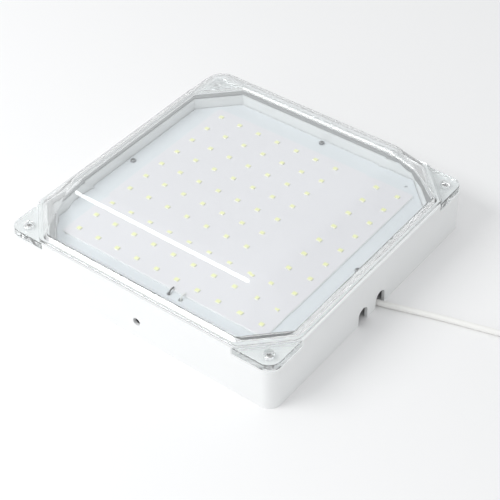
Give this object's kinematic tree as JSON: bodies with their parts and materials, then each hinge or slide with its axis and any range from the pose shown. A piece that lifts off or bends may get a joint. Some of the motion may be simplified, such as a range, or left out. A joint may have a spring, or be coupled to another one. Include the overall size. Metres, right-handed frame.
{
  "type": "led grow light",
  "caption": "Square surface-mount LED grow light with a clear raised cover, a white open-backed housing, an inner driver and a mains cord.",
  "frame": {"origin": "centre of the housing's footprint, in the plane of its back rim, which rests on the surface", "axes": "+Z from the back rim towards the clear cover; +X towards the side with the cable notches; +Y completes the right-handed frame, along the row direction of the LEDs"},
  "size_m": [0.4817, 0.3742, 0.0967],
  "materials": {
    "housing_white": "satin",
    "clear_plastic": "clear polished",
    "gasket": "matt",
    "plate_white": "satin",
    "led_board": "satin, yellow LED faces",
    "screw_steel": "plated",
    "driver_metal": "mill",
    "driver_plastic": "fine texture",
    "board_green": "coated",
    "black_plastic": "moulded",
    "white_plastic": "moulded",
    "brass": "plated",
    "cord": "soft satin",
    "tie": "satin",
    "brown": "satin",
    "blue": "satin"
  },
  "bodies": {
    "housing": {"housing": "housing_white", "cover_gasket": "gasket", "led_plate": "plate_white", "led_board": "led_board", "plate_screw_1": "screw_steel", "plate_screw_2": "screw_steel", "plate_screw_3": "screw_steel", "plate_screw_4": "screw_steel", "driver_screw_1": "screw_steel", "driver_screw_2": "screw_steel", "clamp_screw_1": "screw_steel", "clamp_screw_2": "screw_steel", "driver_base": "driver_metal", "driver_case": "driver_plastic", "driver_board": "board_green", "driver_transformer": "black_plastic", "driver_capacitor": "black_plastic", "output_wire_black": "black_plastic", "terminal_block": "white_plastic", "clamp_bar": "white_plastic", "output_wire_white": "white_plastic", "terminal_screw_1": "brass", "terminal_screw_2": "brass", "plug_pin_1": "brass", "plug_pin_2": "brass", "power_cord": "cord", "cord_coil": "cord", "cord_tail": "cord", "plug_body": "cord", "coil_tie": "tie", "core_brown": "brown", "input_wire_brown": "brown", "core_blue": "blue", "input_wire_blue": "blue"},
    "cover": {"clear_cover": "clear_plastic", "cover_screw_1": "screw_steel", "cover_screw_2": "screw_steel", "cover_screw_3": "screw_steel", "cover_screw_4": "screw_steel"}
  },
  "joints": [
    {"name": "cover_lift", "type": "slide", "parent": "housing", "child": "cover", "axis": [0, 0, 1], "range_m": [0, 0.06]}
  ]
}
